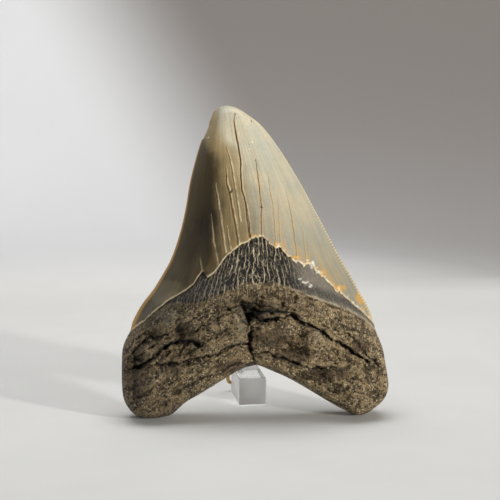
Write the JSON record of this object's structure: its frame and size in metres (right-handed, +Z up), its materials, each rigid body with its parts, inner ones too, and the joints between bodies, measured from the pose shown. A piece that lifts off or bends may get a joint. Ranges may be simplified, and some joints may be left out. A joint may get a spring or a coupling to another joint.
{
  "type": "megalodon tooth on a display stand",
  "caption": "Fossil megalodon tooth with a tall leaning crown, dark neck band and two-lobed fissured root, propped on a clear block foot and a bent brass rod",
  "frame": {"origin": "middle of the bounding box at the level of the ground that the root's lobes and the stand's foot rest on", "axes": "+X to the viewer's right across the display face, +Y from the display face back to the stand, +Z up"},
  "size_m": [0.1148, 0.0668, 0.1316],
  "materials": {
    "fossil": "fossil enamel, satin, over rough mottled brown-grey root",
    "clear_acrylic": "polished clear acrylic",
    "brass": "dull drawn rod"
  },
  "bodies": {
    "root": {"tooth": "fossil", "stand_foot": "clear_acrylic", "stand_rod": "brass"}
  },
  "joints": []
}
